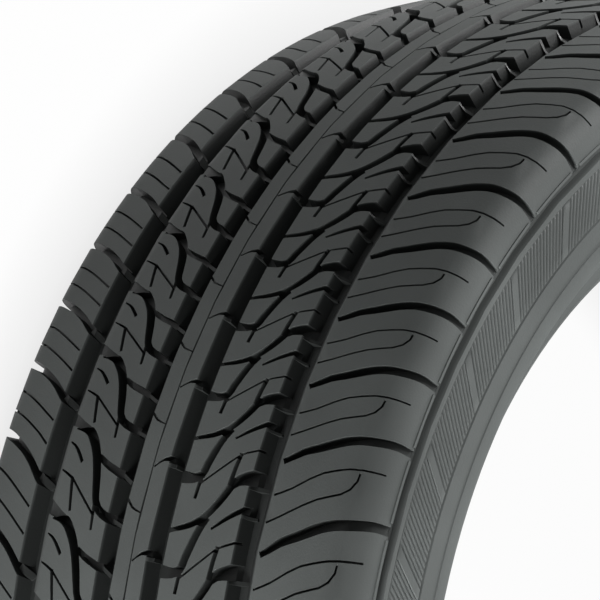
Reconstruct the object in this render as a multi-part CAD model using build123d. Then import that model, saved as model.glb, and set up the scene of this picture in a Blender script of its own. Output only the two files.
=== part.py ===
"""Car tyre, moulded in one piece.

The axis of the tyre is Z, with the origin on the axis at mid width. The outer sidewall faces +Z, and the
tyre lies on its inner sidewall. All lengths are millimetres, and all angles are degrees.
"""
import os
from math import cos, radians, sin, sqrt

from build123d import *

# Size of the tyre on its measuring rim
OUTER_DIAMETER = 626.0
SECTION_WIDTH = 213.0
SEAT_DIAMETER = 436.6
RIM_WIDTH = 177.8

# Tread surface, a shallow crown that ends in a bevelled shoulder on each side
CROWN_RADIUS = 410.0
SHOULDER_BEVEL_WIDTH = 11.5
SHOULDER_DROP = 23.0

# The tread blocks have flat tops, whose corners stand a little above the crown to even out the sag between
# them. The flats stay clear of the centre rib, which is round.
FLAT_RISE = 0.25
CENTRE_RIB_CLEARANCE = 0.06

# Extra rubber of the blank ring, above the tread and beyond the sidewalls, that the flats trim off
BLANK_RISE = 2.0
BLANK_OVERRUN = 5.0

# Sidewall and bead: heights above the bead seat, and the width of the seat
SIDEWALL_FOOT_HEIGHT = 16.9
FLANGE_SEAT_HEIGHT = 11.7
BEAD_WIDTH = 16.9

# V groove round the outer sidewall, below the ends of the shoulder blocks: its height is above the seat
SIDEWALL_GROOVE_HEIGHT = 62.4
SIDEWALL_GROOVE_WIDTH = 4.1
SIDEWALL_GROOVE_DEPTH = 3.5

# Air chamber: wall thicknesses, and the corners of its section
CROWN_WALL = 18.5
SIDE_WALL = 9.0
CHAMBER_BEVEL_WIDTH = 12.5
CHAMBER_BEVEL_HEIGHT = 15.0
CHAMBER_FOOT_HEIGHT = 26.0

# Four grooves run round the tread: the axial place of each one's middle, its width, and their depth
INNER_SHOULDER_GROOVE_PLACE = -60.15
INNER_SHOULDER_GROOVE_WIDTH = 12.6
INNER_CENTRE_GROOVE_PLACE = -13.05
INNER_CENTRE_GROOVE_WIDTH = 9.8
OUTER_CENTRE_GROOVE_PLACE = 12.9
OUTER_CENTRE_GROOVE_WIDTH = 9.5
OUTER_SHOULDER_GROOVE_PLACE = 55.25
OUTER_SHOULDER_GROOVE_WIDTH = 8.8
GROOVE_DEPTH = 7.5

# Slanting V grooves cross the two ribs beside the centre rib, one in each pitch. Each one's places along
# the pitch, from 0 to 1 and beyond, are where it meets the low and the high edge of its rib.
RIB_GROOVE_WIDTH = 3.2
RIB_GROOVE_DEPTH = 6.0
INNER_RIB_LOW_PLACE = 1.22
INNER_RIB_HIGH_PLACE = 0.15
OUTER_RIB_LOW_PLACE = 0.106
OUTER_RIB_HIGH_PLACE = 0.755

# Slanting V slots deepen from the shoulder grooves to the shoulders, and run out over the bevels. Each one's
# places along the pitch are where it meets the low and the high edge of its shoulder's tread.
SLOT_WIDTH = 4.2
SLOT_DEPTH = 6.0
SLOT_START_DEPTH = 1.2
SLOT_OVERRUN = 14.0
INNER_SHOULDER_LOW_PLACE = 0.978
INNER_SHOULDER_HIGH_PLACE = 0.498
OUTER_SHOULDER_LOW_PLACE = -0.075
OUTER_SHOULDER_HIGH_PLACE = 0.42

# Cutters of grooves and slots: their height above the keel, and how far they run on into a ring groove
CUTTER_HEIGHT = 12.0
GROOVE_OVERRUN = 2.5

# The pattern repeats in pitches of four lengths, set in a mixed order to spread the noise of the tread
PITCH_LENGTHS = {"S": 0.90, "M": 0.945, "L": 1.055, "X": 1.13}
PITCH_ORDER = "XXMSSMLLM" * 6 + "XX"
FIRST_PITCH_ANGLE = 163.3

OUTER_RADIUS = OUTER_DIAMETER / 2
SEAT_RADIUS = SEAT_DIAMETER / 2
HALF_WIDTH = SECTION_WIDTH / 2
HALF_RIM = RIM_WIDTH / 2
SHOULDER_START = HALF_WIDTH - SHOULDER_BEVEL_WIDTH
BLANK_RADIUS = OUTER_RADIUS + BLANK_RISE


def edges_of(place, width):
    """Places of the two edges of a groove, from the place of its middle and its width."""
    return (place - width / 2, place + width / 2)


GROOVES = (
    edges_of(INNER_SHOULDER_GROOVE_PLACE, INNER_SHOULDER_GROOVE_WIDTH),
    edges_of(INNER_CENTRE_GROOVE_PLACE, INNER_CENTRE_GROOVE_WIDTH),
    edges_of(OUTER_CENTRE_GROOVE_PLACE, OUTER_CENTRE_GROOVE_WIDTH),
    edges_of(OUTER_SHOULDER_GROOVE_PLACE, OUTER_SHOULDER_GROOVE_WIDTH),
)

# Bands of the tread that carry grooves or slots: low and high edge, and the places where a groove meets them
BANDS = (
    (-SHOULDER_START, GROOVES[0][0], INNER_SHOULDER_LOW_PLACE, INNER_SHOULDER_HIGH_PLACE),
    (GROOVES[0][1], GROOVES[1][0], INNER_RIB_LOW_PLACE, INNER_RIB_HIGH_PLACE),
    (GROOVES[2][1], GROOVES[3][0], OUTER_RIB_LOW_PLACE, OUTER_RIB_HIGH_PLACE),
    (GROOVES[3][1], SHOULDER_START, OUTER_SHOULDER_LOW_PLACE, OUTER_SHOULDER_HIGH_PLACE),
)


def crown(z):
    """Radius of the tread surface at the axial place z, where the edges of the centre rib stand highest."""
    centre_edge = GROOVES[2][0]
    return OUTER_RADIUS + sqrt(CROWN_RADIUS**2 - z**2) - sqrt(CROWN_RADIUS**2 - centre_edge**2)


def blank_points():
    """Corners of the blank ring's outside with its four grooves, where only the centre rib has its final size."""
    points = [(BLANK_RADIUS, -HALF_WIDTH)]
    tops = (BLANK_RADIUS, BLANK_RADIUS, OUTER_RADIUS, BLANK_RADIUS, BLANK_RADIUS)
    for index, (low, high) in enumerate(GROOVES):
        floor = crown((low + high) / 2) - GROOVE_DEPTH
        points += [(tops[index], low), (floor, low), (floor, high), (tops[index + 1], high)]
    return points + [(BLANK_RADIUS, HALF_WIDTH)]


def sidewall_groove_points():
    """Corners of the V groove round the outer sidewall, from its upper to its lower edge."""
    middle = SEAT_RADIUS + SIDEWALL_GROOVE_HEIGHT
    lower, upper = edges_of(middle, SIDEWALL_GROOVE_WIDTH)
    return [(upper, HALF_WIDTH), (middle, HALF_WIDTH - SIDEWALL_GROOVE_DEPTH), (lower, HALF_WIDTH)]


def side_points():
    """Corners of one side, from the foot of the sidewall over bead and chamber to the chamber's crown."""
    chamber_side = HALF_WIDTH - SIDE_WALL
    chamber_crown = OUTER_RADIUS - CROWN_WALL
    return [
        (SEAT_RADIUS + SIDEWALL_FOOT_HEIGHT, HALF_WIDTH),
        (SEAT_RADIUS + FLANGE_SEAT_HEIGHT, HALF_RIM),
        (SEAT_RADIUS, HALF_RIM),
        (SEAT_RADIUS, HALF_RIM - BEAD_WIDTH),
        (SEAT_RADIUS + CHAMBER_FOOT_HEIGHT, chamber_side),
        (chamber_crown - CHAMBER_BEVEL_HEIGHT, chamber_side),
        (chamber_crown, chamber_side - CHAMBER_BEVEL_WIDTH),
    ]


def section():
    """Cross-section of the blank ring, drawn with the radius as X and the axial place as Y."""
    outer_side = side_points()
    inner_side = [(radius, -z) for radius, z in reversed(outer_side)]
    outline = Polyline(*blank_points(), *sidewall_groove_points(), *outer_side, *inner_side, close=True)
    return make_face(outline)


def pitches():
    """Start angle and angular length of each pitch, in order round the tread."""
    total = sum(PITCH_LENGTHS[letter] for letter in PITCH_ORDER)
    angle = FIRST_PITCH_ANGLE
    spans = []
    for letter in PITCH_ORDER:
        span = 360 * PITCH_LENGTHS[letter] / total
        spans.append((angle, span))
        angle -= span
    return spans


def turned(radius, angle, z):
    """Point at a radius, an angle round the axis and an axial place."""
    return Vector(radius * cos(radians(angle)), radius * sin(radians(angle)), z)


def flats():
    """Convex body whose faces are the flat tops of the tread blocks and the bevels of the shoulders."""
    bevel = (crown(SHOULDER_START) - OUTER_RADIUS + SHOULDER_DROP) / SHOULDER_BEVEL_WIDTH
    end_radius = OUTER_RADIUS - SHOULDER_DROP - bevel * BLANK_OVERRUN + FLAT_RISE
    end = HALF_WIDTH + BLANK_OVERRUN
    longest = max(span for _, span in pitches())
    centre_radius = OUTER_RADIUS / cos(radians(longest / 2)) + CENTRE_RIB_CLEARANCE
    corners = []
    for angle, span in pitches():
        for low, high, low_place, high_place in BANDS:
            corners.append(turned(crown(low) + FLAT_RISE, angle - low_place * span, low))
            corners.append(turned(crown(high) + FLAT_RISE, angle - high_place * span, high))
        corners.append(turned(centre_radius, angle, GROOVES[1][1]))
        corners.append(turned(centre_radius, angle, GROOVES[2][0]))
        corners.append(turned(end_radius, angle - INNER_SHOULDER_LOW_PLACE * span, -end))
        corners.append(turned(end_radius, angle - OUTER_SHOULDER_HIGH_PLACE * span, end))
    return ConvexPolyhedron(corners)


def band_groove(band, pitch, depths, overruns, slope):
    """Prism that cuts the V groove across a band of the tread in one pitch.

    Depths and overruns are those at the band's low and high edge, and the slope is the half width of the V
    over its height.
    """
    low, high, low_place, high_place = band
    angle, span = pitch
    start = turned(crown(low), angle - low_place * span, low)
    end = turned(crown(high), angle - high_place * span, high)
    across = (end - start).cross(Vector(start.X + end.X, start.Y + end.Y, 0)).normalized()
    up = across.cross((end - start).normalized())
    first = start - up * depths[0]
    last = end - up * depths[1]
    run = (last - first).normalized()
    corners = []
    for keel in (first - run * overruns[0], last + run * overruns[1]):
        top = keel + up * CUTTER_HEIGHT
        spread = across * (slope * CUTTER_HEIGHT)
        corners += [keel, top + spread, top - spread]
    return ConvexPolyhedron(corners)


def main():
    tyre = revolve(Plane.XZ * section(), Axis.Z) & flats()
    rib_slope = RIB_GROOVE_WIDTH / RIB_GROOVE_DEPTH / 2
    slot_slope = SLOT_WIDTH / SLOT_DEPTH / 2
    inner_slot = ((SLOT_DEPTH, SLOT_START_DEPTH), (SLOT_OVERRUN, GROOVE_OVERRUN), slot_slope)
    rib_groove = ((RIB_GROOVE_DEPTH, RIB_GROOVE_DEPTH), (GROOVE_OVERRUN, GROOVE_OVERRUN), rib_slope)
    outer_slot = ((SLOT_START_DEPTH, SLOT_DEPTH), (GROOVE_OVERRUN, SLOT_OVERRUN), slot_slope)
    cutters = []
    for pitch in pitches():
        for band, sizes in zip(BANDS, (inner_slot, rib_groove, rib_groove, outer_slot)):
            cutters.append(band_groove(band, pitch, *sizes))
    tyre = tyre.cut(*cutters)
    os.makedirs("parts", exist_ok=True)
    export_step(tyre, "parts/tyre.step")


main()
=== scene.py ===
"""Car tyre: a ribbed road tread with shoulder slots and sipes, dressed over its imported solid.

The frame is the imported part's: the axis is Z, the outer sidewall faces +Z and the tyre lies on its inner
sidewall. Shapes are worked out in millimetres and go into the meshes in metres.
"""
import logging
import math
from dataclasses import dataclass, field
from enum import Enum
import bpy
import numpy as np
from mathutils import Euler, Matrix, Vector
from mathutils.geometry import delaunay_2d_cdt


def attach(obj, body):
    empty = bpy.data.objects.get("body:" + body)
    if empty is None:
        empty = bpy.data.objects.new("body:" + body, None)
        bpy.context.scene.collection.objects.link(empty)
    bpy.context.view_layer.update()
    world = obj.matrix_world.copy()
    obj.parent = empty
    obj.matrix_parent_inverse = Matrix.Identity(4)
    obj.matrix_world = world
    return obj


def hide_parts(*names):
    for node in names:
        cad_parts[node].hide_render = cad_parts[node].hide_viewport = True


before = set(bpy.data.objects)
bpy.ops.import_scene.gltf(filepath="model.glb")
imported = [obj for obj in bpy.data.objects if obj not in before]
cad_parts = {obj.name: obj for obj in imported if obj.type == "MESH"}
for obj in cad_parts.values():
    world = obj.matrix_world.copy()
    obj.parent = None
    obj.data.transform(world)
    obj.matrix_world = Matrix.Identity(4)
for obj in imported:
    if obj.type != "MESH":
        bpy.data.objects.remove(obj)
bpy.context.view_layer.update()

LOG = logging.getLogger("tyre")
MM = 0.001
Color = tuple[float, float, float]
Place = tuple[float, float, float]


def smooth_path(points: np.ndarray, step: float) -> np.ndarray:
    """Carry a smooth curve through points, with each sample a cubic Hermite blend of its two neighbours.

    Args:
        points: rows of coordinates and other values; the first two columns set the spacing.
        step: longest distance between two samples.

    Returns:
        The sampled rows, with the given points among them.
    """
    gaps = np.hypot(*np.diff(points[:, :2], axis=0).T)
    place = np.concatenate([[0.0], np.cumsum(gaps)])
    pieces = np.maximum(1, np.ceil(gaps / step)).astype(int)
    owner = np.repeat(np.arange(len(gaps)), pieces)
    first = np.repeat(np.cumsum(pieces) - pieces, pieces)
    share = (np.arange(len(owner)) - first) / pieces[owner]
    if len(points) > 2:
        slope = np.gradient(points, place, axis=0)
    else:
        slope = np.repeat(np.diff(points, axis=0), 2, 0) / gaps
    t = share[:, None]
    h = gaps[owner][:, None]
    inner = (
        points[owner] * (2 * t**3 - 3 * t**2 + 1)
        + points[owner + 1] * (3 * t**2 - 2 * t**3)
        + slope[owner] * h * (t**3 - 2 * t**2 + t)
        + slope[owner + 1] * h * (t**3 - t**2)
    )
    return np.vstack([inner, points[-1]])


@dataclass(frozen=True)
class Section:
    """Cross-section of the tyre, followed by its arc length from the middle of the tread.

    The tread is a crown arc and the shoulder a smaller arc. Sidewall, bead and air chamber follow a smooth
    curve through the listed (radius, axial place) points. The other half is the mirror image.
    """

    outer_radius: float = 312.9
    crown_radius: float = 410.0
    crown_samples: int = 120
    shoulder_start: float = 92.0
    shoulder_radius: float = 16.0
    shoulder_samples: int = 60
    wall_lean: float = 4.0
    half_width: float = 106.5
    side_step: float = 0.5
    side: tuple[tuple[float, float], ...] = (
        (279.6, 105.0), (268.0, 105.75), (256.0, 106.0), (246.5, 105.6), (240.2, 104.6), (236.4, 102.0),
        (233.7, 97.0), (231.3, 92.2), (228.0, 89.5), (223.0, 88.7), (219.6, 87.5), (218.4, 84.5),
        (218.3, 79.0), (218.6, 74.4), (220.2, 72.5), (223.6, 74.4), (232.0, 82.8), (242.0, 92.6),
        (250.0, 96.6), (264.0, 97.3), (278.0, 96.4), (287.6, 91.6), (293.0, 82.0), (294.5, 66.0),
        (294.5, 33.0), (294.5, 0.0),
    )

    def half(self) -> np.ndarray:
        """Dense half section as rows of radius and axial place, from the tread's middle to the lining's.

        Both arcs are a centre plus radius times cosine and sine of an angle from the tread's middle on.

        Returns:
            Rows of radius and axial place.
        """
        first = math.asin(self.shoulder_start / self.crown_radius)
        last = math.radians(90 - self.wall_lean)
        a = np.linspace(0, first, self.crown_samples)
        crown = np.stack([np.cos(a) - 1, np.sin(a)], 1) * self.crown_radius + [self.outer_radius, 0]
        b = np.linspace(first, last, self.shoulder_samples)[1:]
        turn = np.stack([np.cos(b) - np.cos(first), np.sin(b) - np.sin(first)], 1) * self.shoulder_radius
        shoulder = crown[-1] + turn
        wall = smooth_path(np.vstack([shoulder[-1], self.side]), self.side_step)[1:]
        return np.minimum(np.vstack([crown, shoulder, wall]), [self.outer_radius, self.half_width])

    def lengths(self) -> np.ndarray:
        """Arc length at each row of the half section."""
        steps = np.hypot(*np.diff(self.half(), axis=0).T)
        return np.concatenate([[0.0], np.cumsum(steps)])

    def place(self, across: np.ndarray, lift: np.ndarray) -> tuple[np.ndarray, np.ndarray]:
        """Find the radius and axial place of points that stand off the surface.

        The point goes along the outward normal, which is the curve's direction turned a quarter.

        Args:
            across: arc length from the middle of the tread, below zero on the inner side.
            lift: distance above the surface.

        Returns:
            Radius and axial place of each point.
        """
        curve = self.half()
        length = self.lengths()
        slope = np.gradient(curve, length, axis=0)
        slope /= np.hypot(*slope.T)[:, None]
        far = np.abs(across)
        radius = np.interp(far, length, curve[:, 0]) + np.interp(far, length, slope[:, 1]) * lift
        axial = np.interp(far, length, curve[:, 1]) - np.interp(far, length, slope[:, 0]) * lift
        return radius, np.where(across < 0, -axial, axial)

    def turned(self, angle: np.ndarray, across: np.ndarray, lift: np.ndarray) -> np.ndarray:
        """Turn points of the section round the axis: radius times cosine and sine, and the axial place.

        Args:
            angle: angle round the axis.
            across: arc length from the middle of the tread.
            lift: distance above the surface.

        Returns:
            Corners, with their coordinates along the last axis.
        """
        radius, axial = self.place(across, lift)
        return np.stack(np.broadcast_arrays(radius * np.cos(angle), radius * np.sin(angle), axial), -1)


@dataclass(frozen=True)
class Pitches:
    """Pitches of four lengths in a mixed order round the tread."""

    lengths: tuple[tuple[str, float], ...] = (("S", 0.90), ("M", 0.945), ("L", 1.055), ("X", 1.13))
    order: str = "XXMSSMLLM" * 6 + "XX"
    first_angle: float = 163.3

    def starts(self) -> np.ndarray:
        """Add up the pitches' lengths as shares of a full turn.

        Returns:
            Angle at which each pitch starts, and at the end the first one again, a full turn on.
        """
        table = dict(self.lengths)
        spans = np.array([table[letter] for letter in self.order])
        turned = np.concatenate([[0.0], np.cumsum(spans)]) / spans.sum() * 360
        return np.radians(self.first_angle - turned)

    def angles(self, along: np.ndarray) -> np.ndarray:
        """Angles in every pitch, one row each, of places along it from 0 at its start to 1 at its end."""
        starts = self.starts()
        return starts[:-1, None] + np.diff(starts)[:, None] * along


class Role(Enum):
    """What a stroke does to the tread."""

    CUT = "takes rubber away"
    BAR = "leaves rubber standing"


@dataclass(frozen=True)
class Stroke:
    """A groove, sipe or bar of one pitch.

    Points are (across, along, width): arc length across the tread, share of the pitch, and width. Depth is
    given at places across the tread, and runs straight between them.
    """

    points: tuple[tuple[float, float, float], ...]
    depth: tuple[tuple[float, float], ...]
    role: Role = Role.CUT

    def widest(self) -> float:
        """Largest width of the stroke."""
        return max(width for _, _, width in self.points)

    def outline(self, pitch_length: float, step: float) -> np.ndarray:
        """Outline of the stroke: the smooth middle line moved half its width to each side.

        Args:
            pitch_length: length of one pitch.
            step: longest distance between two corners.

        Returns:
            Corners as rows of (along, across), both in millimetres.
        """
        rows = np.array([(along * pitch_length, across, width) for across, along, width in self.points])
        path = smooth_path(rows, step)
        run = np.gradient(path[:, :2], axis=0)
        run /= np.hypot(*run.T)[:, None]
        side = np.stack([-run[:, 1], run[:, 0]], 1) * path[:, 2:] / 2
        return np.vstack([path[:, :2] - side, (path[:, :2] + side)[::-1]])

    def depth_at(self, across: np.ndarray) -> np.ndarray:
        """Depth below the tread surface at places across the tread."""
        table = np.array(sorted(self.depth))
        return np.interp(across, table[:, 0], table[:, 1])


Drawn = list[tuple[Stroke, np.ndarray]]


def even(depth: float) -> tuple[tuple[float, float], ...]:
    """Depth table of a stroke that is equally deep all along."""
    return ((0.0, depth),)


@dataclass
class Relief:
    """Mesh of one pitch: places of its corners, its faces, and the corners that meet the next pitch."""

    along: np.ndarray
    across: np.ndarray
    depth: np.ndarray
    faces: list[list[int]]
    twin: np.ndarray
    outer_edge: np.ndarray
    inner_edge: np.ndarray


@dataclass
class Tread:
    """The tread pattern: four ring grooves, curved grooves in the ribs, shoulder slots, sipes and bars.

    Each ring is (low, high, depth at low, depth at high), from place to place across the tread. Sloped rings
    are the walls and chamfers of the grooves.
    """

    pitch_length: float = 35.0
    reach: float = 124.4
    columns: int = 3
    crown_reach: float = 63.0
    crown_rows: int = 11
    shoulder_rows: tuple[float, ...] = (73.0, 83.0, 91.0, 95.0, 99.0, 103.0, 107.0, 111.0, 115.0)
    ring_run: tuple[float, float] = (-0.2, 1.2)
    ring_step: float = 60.0
    groove_step: float = 3.6
    sipe_step: float = 6.5
    sipe_width: float = 1.3
    overlap: float = 1.0
    neighbours: int = 2
    weld: float = 1e-4
    border_slack: float = 1e-5
    rim_slack: float = 1e-3
    depth_digits: int = 3
    match_digits: int = 2
    ring_depth: float = 7.5
    rings: tuple[tuple[float, float, float, float], ...] = (
        (-123.4, -118.7, 3.0, 3.0),
        (-66.45, -64.6, 0.0, 7.5), (-64.6, -55.2, 7.5, 7.5),
        (-55.2, -54.0, 7.5, 0.7), (-54.0, -51.2, 0.7, 0.0),
        (-17.95, -16.2, 0.0, 7.5), (-16.2, -9.4, 7.5, 7.5), (-9.4, -8.15, 7.5, 0.0),
        (-0.35, 0.35, 2.0, 2.0),
        (8.15, 10.2, 0.0, 7.5), (10.2, 16.4, 7.5, 7.5), (16.4, 17.65, 7.5, 0.0),
        (50.85, 53.0, 0.0, 7.5), (53.0, 59.65, 7.5, 7.5), (59.65, 62.4, 2.4, 0.0),
        (118.7, 120.1, 0.0, 2.4), (120.1, 121.6, 2.4, 2.4), (121.6, 123.4, 2.4, 0.0),
    )

    def outer_rib(self) -> list[Stroke]:
        """Draw the rib between the outer centre groove and the outer shoulder groove.

        Returns:
            Two wide curved grooves, four finer ones, and two fins that slope down into the shoulder groove.
        """
        sweep = Stroke(
            ((14.6, 0.07, 2.0), (17.85, 0.106, 2.0), (26.5, 0.18, 2.7), (33.1, 0.286, 3.3),
             (37.6, 0.425, 3.6), (40.9, 0.563, 3.9), (42.6, 0.65, 4.0), (45.3, 0.71, 4.6),
             (50.85, 0.755, 6.0), (53.5, 0.77, 6.4)),
            even(6.0),
        )
        branch = Stroke(
            ((14.2, 0.665, 5.4), (17.85, 0.67, 4.8), (22.9, 0.67, 4.0), (26.7, 0.72, 4.0),
             (28.1, 0.842, 4.0), (29.6, 0.964, 3.9), (31.1, 1.086, 3.8), (32.9, 1.2, 3.7),
             (34.8, 1.288, 3.5)),
            even(5.6),
        )
        tail = Stroke(((26.9, 0.704, 2.0), (26.2, 0.459, 1.7)), even(4.0))
        thin = Stroke(
            ((27.2, 0.63, 1.1), (32.0, 0.738, 1.1), (37.6, 0.866, 1.1), (42.6, 0.98, 1.1),
             (46.5, 1.022, 1.1), (50.85, 1.064, 1.1), (52.0, 1.074, 1.1)),
            even(4.0),
        )
        thick = Stroke(((43.1, 1.0, 2.2), (42.2, 0.842, 2.2), (41.5, 0.65, 2.2)), even(4.0))
        hook = Stroke(
            ((52.8, 0.43, 2.9), (50.85, 0.41, 2.7), (47.6, 0.362, 2.4), (44.2, 0.303, 2.1),
             (40.8, 0.235, 1.7), (37.8, 0.17, 1.1)),
            even(4.5),
        )
        long_fin = Stroke(
            ((50.5, 0.66, 1.6), (57.4, 0.676, 1.4)), ((50.5, 3.0), (53.0, 3.8), (57.4, 6.8)), Role.BAR
        )
        short_fin = Stroke(((50.5, 0.345, 1.2), (54.8, 0.356, 1.0)), ((50.5, 2.8), (54.8, 6.4)), Role.BAR)
        return [sweep, branch, tail, thin, thick, hook, long_fin, short_fin]

    def centre_rib(self) -> list[Stroke]:
        """Draw the centre rib.

        Returns:
            A notch on each side, and one fin.
        """
        outer_notch = Stroke(
            ((0.85, 0.738, 0.9), (5.25, 0.825, 1.3), (8.15, 0.842, 2.2), (9.6, 0.846, 2.4)), even(3.5)
        )
        inner_notch = Stroke(
            ((-9.4, 0.375, 1.3), (-7.95, 0.354, 1.2), (-5.15, 0.286, 1.0), (-0.15, 0.243, 0.6)), even(2.0)
        )
        fin = Stroke(((8.0, 0.775, 1.4), (10.6, 0.78, 1.4)), even(2.6), Role.BAR)
        return [outer_notch, inner_notch, fin]

    def inner_rib(self) -> list[Stroke]:
        """Draw the rib between the inner shoulder groove and the inner centre groove.

        Returns:
            One wide curved groove with a shallow ramp and a spur, finer grooves and sipes, and two fins.
        """
        sweep = Stroke(
            ((-50.2, 1.085, 0.8), (-46.0, 1.09, 2.8), (-41.4, 1.06, 4.6), (-37.95, 0.975, 4.7),
             (-34.55, 0.859, 4.7), (-31.85, 0.718, 4.6), (-29.55, 0.558, 4.5), (-27.95, 0.417, 4.2),
             (-26.25, 0.293, 3.8), (-24.05, 0.224, 3.7), (-18.45, 0.153, 3.6), (-15.5, 0.125, 3.6)),
            even(6.0),
        )
        ramp = Stroke(
            ((-56.0, 1.225, 5.6), (-52.5, 1.195, 5.2), (-47.5, 1.14, 3.8), (-42.6, 1.095, 2.6)),
            ((-56.0, 1.5), (-50.0, 1.3), (-43.0, 2.4)),
        )
        spur = Stroke(
            ((-31.25, 0.79, 2.4), (-26.25, 0.718, 2.8), (-18.45, 0.64, 3.1), (-15.5, 0.61, 3.1)), even(4.0)
        )
        spur_fin = Stroke(((-18.3, 0.638, 1.5), (-12.35, 0.554, 1.5)), even(3.6), Role.BAR)
        sweep_fin = Stroke(((-18.2, 0.14, 1.5), (-9.05, 0.057, 1.5)), even(4.2), Role.BAR)
        step_sipe = Stroke(((-52.2, 0.615, 0.7), (-48.5, 0.58, 1.0), (-44.15, 0.53, 1.2)), even(4.0))
        leg = Stroke(((-44.3, 0.545, 1.9), (-40.75, 0.175, 1.6)), even(4.0))
        slant_sipe = Stroke(((-44.0, 0.53, 1.05), (-37.35, 0.39, 1.05), (-27.0, 0.17, 1.05)), even(4.0))
        tail = Stroke(((-26.95, 0.266, 1.9), (-25.75, -0.001, 1.4)), even(4.0))
        edge_sipe = Stroke(
            ((-51.2, 0.92, 0.7), (-48.0, 0.885, 1.1), (-44.4, 0.81, 1.6), (-40.8, 0.71, 1.7)), even(4.0)
        )
        return [sweep, ramp, spur, spur_fin, sweep_fin, step_sipe, leg, slant_sipe, tail, edge_sipe]

    def outer_shoulder(self) -> list[Stroke]:
        """Draw the outer shoulder.

        Returns:
            A slot and two sipes that run over the rounded edge, and a lip.
        """
        slot = Stroke(
            ((63.6, -0.02, 2.5), (67.5, 0.052, 3.2), (71.9, 0.142, 3.7), (77.5, 0.213, 4.1),
             (83.0, 0.29, 4.5), (88.6, 0.362, 4.5), (94.1, 0.407, 4.4), (99.7, 0.437, 4.3),
             (105.2, 0.469, 4.1), (110.8, 0.495, 4.0), (119.4, 0.51, 4.0)),
            ((63.0, 4.5), (70.0, 6.0), (86.0, 5.8), (96.0, 4.6), (106.0, 3.0), (114.0, 1.9), (119.4, 1.2)),
        )
        upper = Stroke(
            ((63.6, 0.616, 1.0), (70.8, 0.714, 1.0), (77.5, 0.842, 1.0), (83.0, 0.93, 1.0),
             (88.6, 0.981, 1.0), (94.1, 1.022, 1.0), (109.1, 1.079, 0.9)),
            ((63.0, 4.0), (96.0, 3.0), (109.0, 1.5)),
        )
        lower = Stroke(
            ((63.0, 0.32, 1.0), (68.6, 0.406, 1.0), (77.5, 0.557, 1.0), (83.0, 0.64, 1.0),
             (88.6, 0.697, 1.0), (93.0, 0.738, 1.0), (96.4, 0.808, 1.0), (98.4, 0.913, 0.95),
             (98.6, 1.0, 0.9)),
            even(3.0),
        )
        lip = Stroke(((118.2, 0.61, 1.2), (118.2, 1.41, 1.2)), even(-0.5), Role.BAR)
        return [slot, upper, lower, lip]

    def inner_shoulder(self) -> list[Stroke]:
        """Draw the inner shoulder.

        Returns:
            A slot with a bar at its mouth, two sipes and a lip.
        """
        slot = Stroke(
            ((-63.0, 0.44, 3.9), (-67.3, 0.53, 3.9), (-72.9, 0.657, 3.6), (-80.7, 0.8, 3.4),
             (-88.0, 0.9, 3.6), (-95.1, 0.98, 3.9), (-104.0, 1.05, 4.0), (-112.0, 1.095, 3.8),
             (-119.4, 1.11, 3.8)),
            ((-119.0, 2.6), (-110.0, 4.4), (-96.0, 6.0), (-63.0, 6.0)),
        )
        bar = Stroke(
            ((-68.6, 0.553, 2.8), (-62.8, 0.43, 2.6)),
            ((-68.6, 3.0), (-66.4, 3.2), (-64.9, 4.6), (-62.8, 7.4)),
            Role.BAR,
        )
        first = Stroke(
            ((-67.4, 0.18, 1.0), (-76.0, 0.32, 1.0), (-85.0, 0.46, 1.0), (-92.9, 0.565, 1.0),
             (-104.0, 0.66, 1.0)),
            ((-104.0, 1.5), (-92.0, 3.0), (-66.0, 4.0)),
        )
        second = Stroke(
            ((-67.0, -0.12, 1.0), (-76.0, 0.03, 1.0), (-85.0, 0.17, 1.0), (-95.1, 0.302, 1.0),
             (-107.0, 0.39, 1.0)),
            ((-107.0, 1.5), (-94.0, 3.0), (-66.0, 4.0)),
        )
        lip = Stroke(((-118.2, 0.21, 1.2), (-118.2, 1.01, 1.2)), even(-0.5), Role.BAR)
        return [slot, bar, first, second, lip]

    def ring_strokes(self) -> list[Stroke]:
        """The grooves that run round the tread, each drawn a little longer than a pitch.

        Returns:
            One straight stroke for each ring.
        """
        strokes = []
        start, stop = self.ring_run
        for low, high, low_depth, high_depth in self.rings:
            middle = (low + high) / 2
            run = ((middle, start, high - low), (middle, stop, high - low))
            strokes.append(Stroke(run, ((low, low_depth), (high, high_depth))))
        return strokes

    def strokes(self) -> list[Stroke]:
        """Every stroke of one pitch, apart from the rings."""
        ribs = self.outer_rib() + self.centre_rib() + self.inner_rib()
        return ribs + self.outer_shoulder() + self.inner_shoulder()

    def outlines(self) -> Drawn:
        """Outlines of all strokes that touch the pitch, with those that reach in from its neighbours.

        Returns:
            Strokes, each with one outline.
        """
        rings = self.ring_strokes()
        found = [(ring, ring.outline(self.pitch_length, self.ring_step)) for ring in rings]
        low, high = -self.overlap, self.pitch_length + self.overlap
        for stroke in self.strokes():
            step = self.sipe_step if stroke.widest() < self.sipe_width else self.groove_step
            outline = stroke.outline(self.pitch_length, step)
            for turn in range(-self.neighbours, self.neighbours + 1):
                moved = outline + [turn * self.pitch_length, 0]
                if moved[:, 0].max() > low and moved[:, 0].min() < high:
                    found.append((stroke, moved))
        return found

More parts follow.
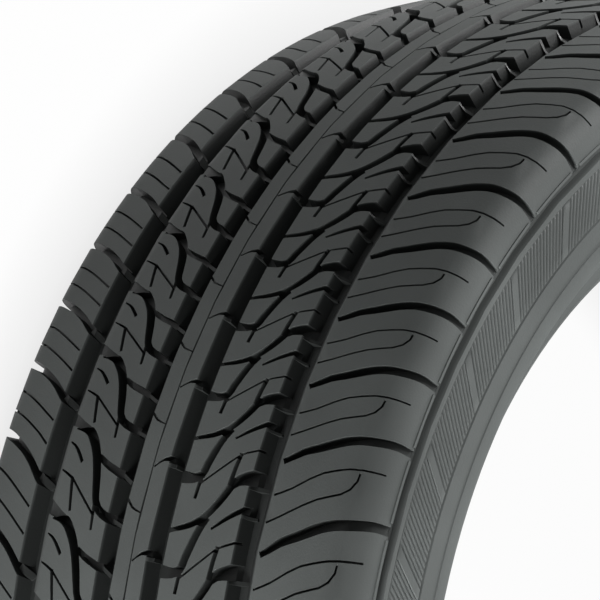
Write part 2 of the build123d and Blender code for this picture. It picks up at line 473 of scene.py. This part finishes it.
    def lattice(self) -> tuple[list[np.ndarray], list[tuple[int, int]]]:
        """Points and lines that keep the surface round: the pitch's border, rows over the shoulders and dots.

        Returns:
            Point blocks, and the lines between their points as index pairs counted through all blocks.
        """
        wide, reach = self.pitch_length, self.reach
        stops = np.linspace(0, wide, self.columns + 1)
        heights = np.concatenate([[reach], self.shoulder_rows, np.negative(self.shoulder_rows), [-reach]])
        rows = np.stack(np.meshgrid(stops, heights), -1).reshape(-1, 2)
        count = self.columns + 1
        starts = np.arange(len(heights))[:, None] * count + np.arange(self.columns)
        lines = [(int(i), int(i) + 1) for i in starts.ravel()]
        base = len(rows)
        corners = np.array([(0, -reach), (0, reach), (wide, -reach), (wide, reach)], float)
        lines += [(base, base + 1), (base + 2, base + 3)]
        crown = np.linspace(-self.crown_reach, self.crown_reach, self.crown_rows)
        dots = np.stack(np.meshgrid(stops, crown), -1).reshape(-1, 2)
        return [rows, corners, dots], lines

    def relief(self) -> Relief:
        """Cut one pitch of the tread surface along all outlines and sink each field to its depth.

        The flat pitch is split into triangles that follow every outline. A triangle lies as deep as the
        deepest cut over it, unless a bar fills it up, and walls join fields of unlike depth.

        Returns:
            The pitch's mesh.
        """
        blocks, lines = self.lattice()
        drawn = self.outlines()
        start = sum(len(block) for block in blocks)
        loops = []
        for _, outline in drawn:
            loops.append(list(range(start, start + len(outline))))
            start += len(outline)
            blocks.append(outline)
        points = [Vector(row) for row in np.vstack(blocks).tolist()]
        flat, _, cells, _, _, owners = delaunay_2d_cdt(points, lines, loops, 0, self.weld, True)
        place = np.array([tuple(point) for point in flat])
        cells = np.array(cells)
        along, across = place[cells].mean(1).T
        inside = (along > 0) & (along < self.pitch_length) & (np.abs(across) < self.reach)
        cells = cells[inside]
        held = [owner for owner, kept in zip(owners, inside) if kept]
        depth = self.sink(place[cells][:, :, 1], held, drawn)
        return self.join(place, cells, depth)

    def sink(self, across: np.ndarray, held: list[list[int]], drawn: Drawn) -> np.ndarray:
        """Depth of each corner of each triangle, from the strokes that hold the triangle.

        Args:
            across: place across the tread of each triangle's corners.
            held: numbers of the outlines that hold each triangle.
            drawn: strokes and their outlines.

        Returns:
            Depth of each triangle's corners.
        """
        member = np.zeros((len(drawn), len(held)), bool)
        pairs = np.array([(owner, cell) for cell, owners in enumerate(held) for owner in owners])
        member[pairs[:, 0], pairs[:, 1]] = True
        depth = np.zeros(across.shape)
        for role, choose in ((Role.CUT, np.maximum), (Role.BAR, np.minimum)):
            for (stroke, _), cells in zip(drawn, member):
                if stroke.role is role:
                    depth[cells] = choose(depth[cells], stroke.depth_at(across[cells]))
        return np.round(depth, self.depth_digits)

    def join(self, place: np.ndarray, cells: np.ndarray, depth: np.ndarray) -> Relief:
        """Give each depth of a flat point its own corner, and put walls between fields of unlike depth.

        Args:
            place: flat points as (along, across).
            cells: triangles of those points.
            depth: depth of each triangle's corners.

        Returns:
            The pitch's mesh, with faces that point outwards.
        """
        scale = 10**self.depth_digits
        pairs = np.stack([cells.ravel(), np.round(depth.ravel() * scale).astype(int)], 1)
        keys, number = np.unique(pairs, axis=0, return_inverse=True)
        number = number.reshape(cells.shape)
        faces = number[:, ::-1].tolist() + self.walls(cells, number, keys[:, 0])
        along = place[keys[:, 0], 0] / self.pitch_length
        across = place[keys[:, 0], 1]
        sunk = keys[:, 1] / scale
        begin = np.flatnonzero(along < self.border_slack)
        end = np.flatnonzero(along > 1 - self.border_slack)
        begin = begin[np.lexsort((sunk[begin], np.round(across[begin], self.match_digits)))]
        end = end[np.lexsort((sunk[end], np.round(across[end], self.match_digits)))]
        twin = np.full(len(keys), -1)
        twin[end] = begin
        rim = np.flatnonzero((np.abs(across) > self.reach - self.rim_slack) & (twin < 0))
        rim = rim[np.argsort(along[rim])]
        return Relief(along, across, sunk, faces, twin, rim[across[rim] > 0], rim[across[rim] < 0])

    def walls(self, cells: np.ndarray, number: np.ndarray, point: np.ndarray) -> list[list[int]]:
        """Walls along the sides that two triangles share, where their corners lie at unlike depths.

        Args:
            cells: triangles of flat points.
            number: the same triangles as corner numbers.
            point: flat point under each corner.

        Returns:
            Faces that stand between the two triangles of a side.
        """
        levels: dict[int, list[int]] = {}
        for index, owner in enumerate(point.tolist()):
            levels.setdefault(owner, []).append(index)
        sides = np.stack([cells, np.roll(cells, -1, 1)], -1).reshape(-1, 2)
        ends = np.stack([number, np.roll(number, -1, 1)], -1).reshape(-1, 2)
        order = np.lexsort((sides.max(1), sides.min(1)))
        low, high = sides.min(1)[order], sides.max(1)[order]
        match = np.flatnonzero((low[1:] == low[:-1]) & (high[1:] == high[:-1]))
        one, two = ends[order[match]], ends[order[match + 1]][:, ::-1]
        apart = (one != two).any(1)
        faces = []
        for (a0, a1), (b0, b1) in zip(one[apart].tolist(), two[apart].tolist()):
            rise = self.ladder(levels[point[a1]], a1, b1)
            faces.append(rise + self.ladder(levels[point[a0]], b0, a0))
        return faces

    @staticmethod
    def ladder(levels: list[int], first: int, last: int) -> list[int]:
        """Corners over one flat point from one level to another, with those between them."""
        start, stop = levels.index(first), levels.index(last)
        return levels[start : stop + 1] if start <= stop else levels[stop : start + 1][::-1]


@dataclass
class Piece:
    """A finished mesh: corners in millimetres, faces, and values that its finish reads."""

    name: str
    corners: np.ndarray
    faces: list[list[int]]
    values: dict[str, np.ndarray] = field(default_factory=dict)
    sharp_angle: float = 32.0

    def place(self, material: bpy.types.Material) -> bpy.types.Object:
        """Put the mesh into the scene with its material, smooth but for its sharp edges.

        Args:
            material: finish of the whole piece.

        Returns:
            The piece's object, at the origin.
        """
        mesh = bpy.data.meshes.new(self.name)
        mesh.from_pydata((self.corners * MM).tolist(), [], self.faces)
        for name, values in self.values.items():
            mesh.attributes.new(name, "FLOAT", "POINT").data.foreach_set("value", values.astype(np.float32))
        mesh.polygons.foreach_set("use_smooth", np.ones(len(mesh.polygons), bool))
        mesh.set_sharp_from_angle(angle=math.radians(self.sharp_angle))
        mesh.materials.append(material)
        mesh.update()
        piece = bpy.data.objects.new(self.name, mesh)
        bpy.context.scene.collection.objects.link(piece)
        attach(piece, "root")
        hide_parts("tyre")
        return piece


@dataclass
class Tyre:
    """The whole tyre as one closed skin: patterned tread, sidewalls, beads and the air chamber's lining.

    Rings on the sidewalls are (across, lift). The finish turns from tread to sidewall between wall_start and
    wall_blend further on.
    """

    section: Section
    pitches: Pitches
    tread: Tread
    outer_rings: tuple[tuple[float, float], ...] = (
        (125.4, 0.0), (126.0, -0.15), (126.4, -0.6), (132.0, -0.6), (138.0, -0.6), (144.6, -0.6),
        (145.1, 0.0), (149.5, 0.0), (153.6, 0.0), (154.0, 0.45), (154.9, 0.45), (155.3, 0.0),
    )
    inner_rings: tuple[tuple[float, float], ...] = (
        (126.0, 0.0), (130.0, 0.0), (137.0, 0.0), (144.0, 0.0), (149.5, 0.0), (153.6, 0.0), (154.0, 0.45),
        (154.9, 0.45), (155.3, 0.0),
    )
    wall_start: float = 98.0
    wall_blend: float = 20.0
    plain_start: float = 160.0
    plain_step: float = 4.6
    flat_lining: float = 62.0

    def rows(self) -> np.ndarray:
        """Line up the rings of both sidewalls with even rows over the beads and the lining.

        Returns:
            Rows of (across, lift) from the outer end of the tread round the beads to its inner end.
        """
        end = self.section.lengths()[-1]
        bend = end - self.flat_lining
        count = int(round((bend - self.plain_start) / self.plain_step))
        plain = np.append(np.linspace(self.plain_start, bend, count + 1), end)
        lining = np.stack([plain, np.zeros(len(plain))], 1)
        outer = np.vstack([self.outer_rings, lining])
        inner = np.vstack([self.inner_rings, lining[:-1]])[::-1] * [-1, 1]
        return np.vstack([outer, inner])

    def shell(self) -> np.ndarray:
        """Turn the plain rows round the axis, with a spoke at each column of each pitch.

        Returns:
            Corners by row and spoke.
        """
        rows = self.rows()
        spokes = self.pitches.angles(np.arange(self.tread.columns) / self.tread.columns).ravel()
        return self.section.turned(spokes, rows[:, :1], rows[:, 1:])

    def numbers(self, relief: Relief, kept: np.ndarray) -> np.ndarray:
        """Number the corners of all pitches, which share the corners on their far border with the next one.

        Args:
            relief: mesh of one pitch.
            kept: corners that are the pitch's own.

        Returns:
            One row of corner numbers for each pitch.
        """
        local = np.full(len(relief.twin), -1)
        local[kept] = np.arange(len(kept))
        start = np.arange(len(self.pitches.order))[:, None] * len(kept)
        return np.where(relief.twin < 0, start + local, np.roll(start, -1, 0) + local[relief.twin])

    @staticmethod
    def repeated(relief: Relief, number: np.ndarray) -> list[list[int]]:
        """Faces of all pitches, taken together for each count of corners.

        Args:
            relief: mesh of one pitch.
            number: corner numbers of each pitch.

        Returns:
            Faces as lists of corner numbers.
        """
        faces = []
        for size in sorted({len(face) for face in relief.faces}):
            local = np.array([face for face in relief.faces if len(face) == size])
            faces += number[:, local].reshape(-1, size).tolist()
        return faces

    def piece(self) -> Piece:
        """Repeat the pitch round the tread, and close the skin with rows round the section.

        Returns:
            The tyre's mesh.
        """
        relief = self.tread.relief()
        kept = np.flatnonzero(relief.twin < 0)
        number = self.numbers(relief, kept)
        angle = self.pitches.angles(relief.along[kept])
        across = np.broadcast_to(relief.across[kept], angle.shape)
        sunk = np.broadcast_to(relief.depth[kept], angle.shape)
        pattern = self.section.turned(angle, across, -sunk).reshape(-1, 3)
        shell = self.shell()
        ring = len(pattern) + np.arange(shell[..., 0].size).reshape(shell.shape[:2])
        outer = number[:, relief.outer_edge].reshape(1, -1)
        inner = number[:, relief.inner_edge].reshape(1, -1)
        ring = np.vstack([outer, ring, inner])
        after = np.roll(ring, -1, 1)
        quads = np.stack([ring[:-1], ring[1:], after[1:], after[:-1]], -1).reshape(-1, 4)
        corners = np.vstack([pattern, shell.reshape(-1, 3)])
        plain = len(corners) - len(pattern)
        # sunk drives the painted shade in the grooves; wall turns the finish to the sidewall's and weakens
        # that shade.
        depth = np.clip(sunk.ravel() / self.tread.ring_depth, 0, 1)
        turn = np.clip((np.abs(across.ravel()) - self.wall_start) / self.wall_blend, 0, 1)
        values = {
            "sunk": np.concatenate([depth, np.zeros(plain)]),
            "wall": np.concatenate([turn, np.ones(plain)]),
        }
        return Piece("tyre_skin", corners, self.repeated(relief, number) + quads.tolist(), values)


@dataclass
class SerratedBand:
    """Band of slanted fine ribs let into the outer sidewall, in fields parted by plain pads.

    Stops of ribs and pads are shares of their length along the band, and row_shares are shares of its width.
    """

    section: Section
    low: float = 126.6
    high: float = 144.4
    floor: float = -0.55
    root: float = 1.2
    height: float = 0.42
    slant: float = 0.055
    fields: int = 40
    ribs: int = 14
    pad_share: float = 0.13
    rib_stops: tuple[float, ...] = (0.0, 0.25, 0.45, 0.8)
    rib_heights: tuple[float, ...] = (0.0, 0.0, 1.0, 1.0)
    pad_stops: tuple[float, ...] = (1.0, 0.9, 0.6, 0.3, 0.06)
    pad_heights: tuple[float, ...] = (0.0, 1.3, 1.3, 1.3, 1.3)
    row_shares: tuple[float, ...] = (0.0, 0.035, 0.2, 0.4, 0.6, 0.8, 0.965, 1.0, 0.5)
    row_rises: tuple[float, ...] = (0.0, 1.0, 1.0, 1.0, 1.0, 1.0, 1.0, 0.0, 0.0)
    sharp_angle: float = 50.0

    def profile(self) -> tuple[np.ndarray, np.ndarray]:
        """Line up the stops of all ribs and pads along the band.

        Returns:
            Turn round the axis, and height above the band's floor, at each stop.
        """
        steps = np.arange(self.ribs)[:, None] + np.array(self.rib_stops)
        ribs = steps.ravel() / self.ribs * (1 - self.pad_share)
        along = np.concatenate([ribs, 1 - self.pad_share * np.array(self.pad_stops)])
        height = np.concatenate([np.tile(self.rib_heights, self.ribs), self.pad_heights]) * self.height
        turn = (np.arange(self.fields)[:, None] + along).ravel() / self.fields * 2 * np.pi
        return turn, np.tile(height, self.fields)

    def piece(self) -> Piece:
        """Height over a slanted grid: ribs rise and fall along the band, and both ends of the rows go down.

        The last row is sunk in the rubber and closes the band from below.

        Returns:
            The band's mesh.
        """
        turn, height = self.profile()
        share = np.array(self.row_shares)[:, None]
        base = np.full(share.shape, self.floor)
        base[-1] -= self.root
        angle = -turn + self.slant * share
        across = np.broadcast_to(self.low + (self.high - self.low) * share, angle.shape)
        corners = self.section.turned(angle, across, base + height * np.array(self.row_rises)[:, None])
        ring = np.arange(angle.size).reshape(angle.shape)
        below = np.roll(ring, -1, 0)
        quads = np.stack([ring, below, np.roll(below, -1, 1), np.roll(ring, -1, 1)], -1).reshape(-1, 4)
        values = {"sunk": np.zeros(angle.size), "wall": np.ones(angle.size)}
        return Piece("sidewall_band", corners.reshape(-1, 3), quads.tolist(), values, self.sharp_angle)


@dataclass(frozen=True)
class Bench:
    """Short ways to add nodes to a tree and join them up."""

    tree: bpy.types.NodeTree

    def fill(self, socket: bpy.types.NodeSocket, value: bpy.types.NodeSocket | float | tuple) -> None:
        """Link a socket to another one, or set its plain value.

        Args:
            socket: socket to fill.
            value: the other socket, or a plain value.
        """
        if isinstance(value, bpy.types.NodeSocket):
            self.tree.links.new(value, socket)
        else:
            socket.default_value = value

    def own_value(self, name: str) -> bpy.types.NodeSocket:
        """Read one of the piece's own values.

        Args:
            name: name of the value.

        Returns:
            Socket of the value.
        """
        node = self.tree.nodes.new("ShaderNodeAttribute")
        node.attribute_name = name
        return node.outputs["Fac"]

    def noise(self, size: float, detail: float) -> bpy.types.NodeSocket:
        """Noise in the piece's own space.

        Args:
            size: scale of the noise.
            detail: octaves of finer noise.

        Returns:
            Socket of the noise.
        """
        spot = self.tree.nodes.new("ShaderNodeTexCoord")
        node = self.tree.nodes.new("ShaderNodeTexNoise")
        node.inputs["Scale"].default_value = size
        node.inputs["Detail"].default_value = detail
        self.tree.links.new(spot.outputs["Object"], node.inputs["Vector"])
        return node.outputs["Fac"]

    def mapped(
        self,
        value: bpy.types.NodeSocket,
        low: bpy.types.NodeSocket | float,
        high: bpy.types.NodeSocket | float,
        span: tuple[float, float] = (0.0, 1.0),
    ) -> bpy.types.NodeSocket:
        """Value carried from one span to another, and held at its ends.

        Args:
            value: socket to carry over.
            low: result at the span's start.
            high: result at the span's end.
            span: start and end of the values taken in.

        Returns:
            Socket of the result.
        """
        node = self.tree.nodes.new("ShaderNodeMapRange")
        node.inputs["From Min"].default_value, node.inputs["From Max"].default_value = span
        self.fill(node.inputs["Value"], value)
        self.fill(node.inputs["To Min"], low)
        self.fill(node.inputs["To Max"], high)
        return node.outputs["Result"]

    def sums(self, operation: str, *values: bpy.types.NodeSocket | float) -> bpy.types.NodeSocket:
        """Result of a sum with plain or linked values.

        Args:
            operation: name of the sum.
            values: what goes into it, in order.

        Returns:
            Socket of the result.
        """
        node = self.tree.nodes.new("ShaderNodeMath")
        node.operation = operation
        for socket, value in zip(node.inputs, values):
            self.fill(socket, value)
        return node.outputs["Value"]

    def mix(
        self,
        factor: bpy.types.NodeSocket | float,
        first: bpy.types.NodeSocket | Color,
        second: bpy.types.NodeSocket | Color,
        blend_type: str = "MIX",
    ) -> bpy.types.NodeSocket:
        """Mix of two colours by a factor.

        Args:
            factor: share of the second colour.
            first: colour at factor 0.
            second: colour at factor 1.
            blend_type: how the second colour acts on the first.

        Returns:
            Socket of the mixed colour.
        """
        node = self.tree.nodes.new("ShaderNodeMix")
        node.data_type = "RGBA"
        node.blend_type = blend_type
        self.fill(node.inputs["Factor"], factor)
        for name, color in (("A", first), ("B", second)):
            self.fill(node.inputs[name], (*color, 1.0) if isinstance(color, tuple) else color)
        return node.outputs["Result"]


@dataclass(frozen=True)
class Rubber:
    """Finish of moulded black rubber: dull tread, lighter walls, and dark, smoother grooves.

    A slow cloud of noise varies colour and roughness, and a fine grain gives the surface its bump. The
    grooves
    carry painted shade: they are fully dark at dark_depth, a share of the ring grooves' depth, and less so on
    the sidewall.
    """

    tread: Color = (0.066, 0.0715, 0.0695)
    # Painted shade: grooves darken from the tread colour towards this colour with depth.
    groove: Color = (0.0180, 0.0196, 0.0190)
    wall: Color = (0.117, 0.126, 0.123)
    dark_depth: float = 0.16
    wall_shadow: float = 0.45
    tread_roughness: float = 0.52
    wall_roughness: float = 0.46
    cloud_roughness: float = 0.12
    groove_roughness: float = -0.16
    specular: float = 0.18
    cloud_size: float = 16.0
    cloud_detail: float = 5.0
    cloud_span: tuple[float, float] = (0.3, 0.7)
    cloud_shade: tuple[float, float] = (0.86, 1.12)
    grain_size: float = 1100.0
    grain_detail: float = 3.0
    grain_strength: float = 0.18
    grain_height: float = 0.0004

    def group(self) -> bpy.types.ShaderNodeTree:
        """Work out colour, roughness and grain from the piece's own values and two noises.

        Returns:
            Node group that puts out Color, Roughness and Normal.
        """
        tree = bpy.data.node_groups.new("rubber_surface", "ShaderNodeTree")
        tree.interface.new_socket("Color", in_out="OUTPUT", socket_type="NodeSocketColor")
        tree.interface.new_socket("Roughness", in_out="OUTPUT", socket_type="NodeSocketFloat")
        tree.interface.new_socket("Normal", in_out="OUTPUT", socket_type="NodeSocketVector")
        bench = Bench(tree)
        wall = bench.own_value("wall")
        cloud = bench.noise(self.cloud_size, self.cloud_detail)
        # Painted shade in the grooves, deepening with depth (sunk) and weaker on the sidewall (wall).
        darkest = bench.mapped(wall, 1.0, self.wall_shadow)
        shadow = bench.mapped(bench.own_value("sunk"), 0.0, darkest, (0.0, self.dark_depth))
        top = bench.mix(wall, self.tread, self.wall)
        shade = bench.mapped(cloud, *self.cloud_shade, self.cloud_span)
        color = bench.mix(1.0, bench.mix(shadow, top, self.groove), shade, "MULTIPLY")
        plain = bench.mapped(wall, self.tread_roughness, self.wall_roughness)
        patchy = bench.sums("MULTIPLY_ADD", cloud, self.cloud_roughness, plain)
        rough = bench.sums("MULTIPLY_ADD", shadow, self.groove_roughness, patchy)
        bump = tree.nodes.new("ShaderNodeBump")
        bump.inputs["Strength"].default_value = self.grain_strength
        bump.inputs["Distance"].default_value = self.grain_height
        tree.links.new(bench.noise(self.grain_size, self.grain_detail), bump.inputs["Height"])
        out = tree.nodes.new("NodeGroupOutput")
        tree.links.new(color, out.inputs["Color"])
        tree.links.new(rough, out.inputs["Roughness"])
        tree.links.new(bump.outputs["Normal"], out.inputs["Normal"])
        return tree

    def material(self) -> bpy.types.Material:
        """Put the surface group on a plain shader.

        Returns:
            The tyre's material.
        """
        material = bpy.data.materials.new("tyre_rubber")
        material.use_nodes = True
        nodes, links = material.node_tree.nodes, material.node_tree.links
        surface = nodes.new("ShaderNodeGroup")
        surface.node_tree = self.group()
        shader = nodes["Principled BSDF"]
        shader.inputs["Specular IOR Level"].default_value = self.specular
        links.new(surface.outputs["Color"], shader.inputs["Base Color"])
        links.new(surface.outputs["Roughness"], shader.inputs["Roughness"])
        links.new(surface.outputs["Normal"], shader.inputs["Normal"])
        return material


@dataclass(frozen=True)
class PaleFloor:
    """Finish of the floor: near white where it is seen or mirrored, with a soft contact shadow, else grey."""

    color: Color = (0.55, 0.55, 0.55)
    roughness: float = 0.9
    glow: float = 0.97
    # Painted contact shadow: reach and depth of the dimming of the glow near the tyre.
    contact_reach: float = 0.035
    contact_shade: float = 0.8
    contact_samples: int = 12

    def material(self) -> bpy.types.Material:
        """Mix a glow, for camera, glossy and transmission rays, with a plain shader for all other light.

        Returns:
            The floor's material.
        """
        material = bpy.data.materials.new("pale_floor")
        material.use_nodes = True
        nodes, links = material.node_tree.nodes, material.node_tree.links
        bench = Bench(material.node_tree)
        shader = nodes["Principled BSDF"]
        shader.inputs["Base Color"].default_value = (*self.color, 1.0)
        shader.inputs["Roughness"].default_value = self.roughness
        # Painted contact shadow: ambient occlusion dims the floor's glow near the tyre.
        contact = nodes.new("ShaderNodeAmbientOcclusion")
        contact.samples = self.contact_samples
        contact.inputs["Distance"].default_value = self.contact_reach
        glow = nodes.new("ShaderNodeEmission")
        links.new(bench.mapped(contact.outputs["AO"], self.contact_shade, 1.0), glow.inputs["Strength"])
        path = nodes.new("ShaderNodeLightPath")
        seen = bench.sums("MAXIMUM", path.outputs["Is Camera Ray"], path.outputs["Is Glossy Ray"])
        shown = bench.sums("MAXIMUM", seen, path.outputs["Is Transmission Ray"])
        mix = nodes.new("ShaderNodeMixShader")
        links.new(bench.sums("MULTIPLY", shown, self.glow), mix.inputs["Fac"])
        links.new(shader.outputs["BSDF"], mix.inputs[1])
        links.new(glow.outputs["Emission"], mix.inputs[2])
        links.new(mix.outputs["Shader"], nodes["Material Output"].inputs["Surface"])
        return material


@dataclass(frozen=True)
class SoftLight:
    """A large square lamp that looks at a point of the tyre."""

    name: str
    place: Place
    power: float
    target: Place = (-0.2, 0.1, 0.0)
    size: float = 1.0

    def build(self) -> None:
        """Put the lamp into the scene."""
        data = bpy.data.lights.new(self.name, "AREA")
        data.size = self.size
        data.energy = self.power
        lamp = bpy.data.objects.new(self.name, data)
        lamp.location = self.place
        lamp.rotation_euler = (Vector(self.target) - Vector(self.place)).to_track_quat("-Z", "Y").to_euler()
        bpy.context.scene.collection.objects.link(lamp)


@dataclass
class Studio:
    """Pale floor, soft lamps, even surroundings and the camera."""

    floor_height: float = -0.1065
    floor_reach: float = 8.0
    floor_finish: PaleFloor = PaleFloor()
    sky_strength: float = 0.26
    camera_place: Place = (-1.73463, 0.56332, 1.38893)
    camera_turn: Place = (-5.5394, -48.7792, -5.6132)
    camera_lens: float = 304.476
    camera_sensor: float = 36.0
    camera_far: float = 60.0
    lights: tuple[SoftLight, ...] = (
        SoftLight("front", (-2.07, -1.56, 0.35), 126.0),
        SoftLight("low", (0.23, -2.32, 0.43), 80.0),
        SoftLight("back", (1.32, 1.17, 1.67), 42.0),
        SoftLight("edge", (1.92, 1.32, 0.52), 56.0),
    )

    def floor(self) -> None:
        """A wide flat floor under the tyre."""
        reach = self.floor_reach
        corners = np.array([(-reach, -reach), (reach, -reach), (reach, reach), (-reach, reach)])
        corners = np.column_stack([corners, np.full(4, self.floor_height)])
        mesh = bpy.data.meshes.new("floor")
        mesh.from_pydata(corners.tolist(), [], [[0, 1, 2, 3]])
        mesh.materials.append(self.floor_finish.material())
        floor = bpy.data.objects.new("floor", mesh)
        bpy.context.scene.collection.objects.link(floor)

    def surroundings(self) -> None:
        """An even pale sky."""
        world = bpy.data.worlds.new("soft_room")
        world.use_nodes = True
        sky = world.node_tree.nodes["Background"]
        sky.inputs["Color"].default_value = (1.0, 1.0, 1.0, 1.0)
        sky.inputs["Strength"].default_value = self.sky_strength
        bpy.context.scene.world = world

    def camera(self) -> None:
        """The camera at the photograph's viewing angle."""
        data = bpy.data.cameras.new("camera")
        data.lens = self.camera_lens
        data.sensor_width = self.camera_sensor
        data.clip_end = self.camera_far
        camera = bpy.data.objects.new("camera", data)
        camera.location = self.camera_place
        camera.rotation_euler = Euler([math.radians(turn) for turn in self.camera_turn], "XYZ")
        bpy.context.scene.collection.objects.link(camera)
        bpy.context.scene.camera = camera

    def build(self) -> None:
        """Put floor, lamps, sky and camera into the scene."""
        self.floor()
        self.surroundings()
        self.camera()
        for light in self.lights:
            light.build()
        bpy.context.scene.view_settings.view_transform = "Standard"


def main() -> None:
    """Build the tyre, its band and the studio, and report each piece."""
    logging.basicConfig(level=logging.INFO, format="%(name)s: %(message)s")
    section = Section()
    rubber = Rubber().material()
    makers = (Tyre(section, Pitches(), Tread()), SerratedBand(section))
    for maker in makers:
        piece = maker.piece().place(rubber)
        piece.data.calc_loop_triangles()
        LOG.info("%s has %d triangles", piece.name, len(piece.data.loop_triangles))
    Studio().build()


if __name__ == "__main__":
    main()
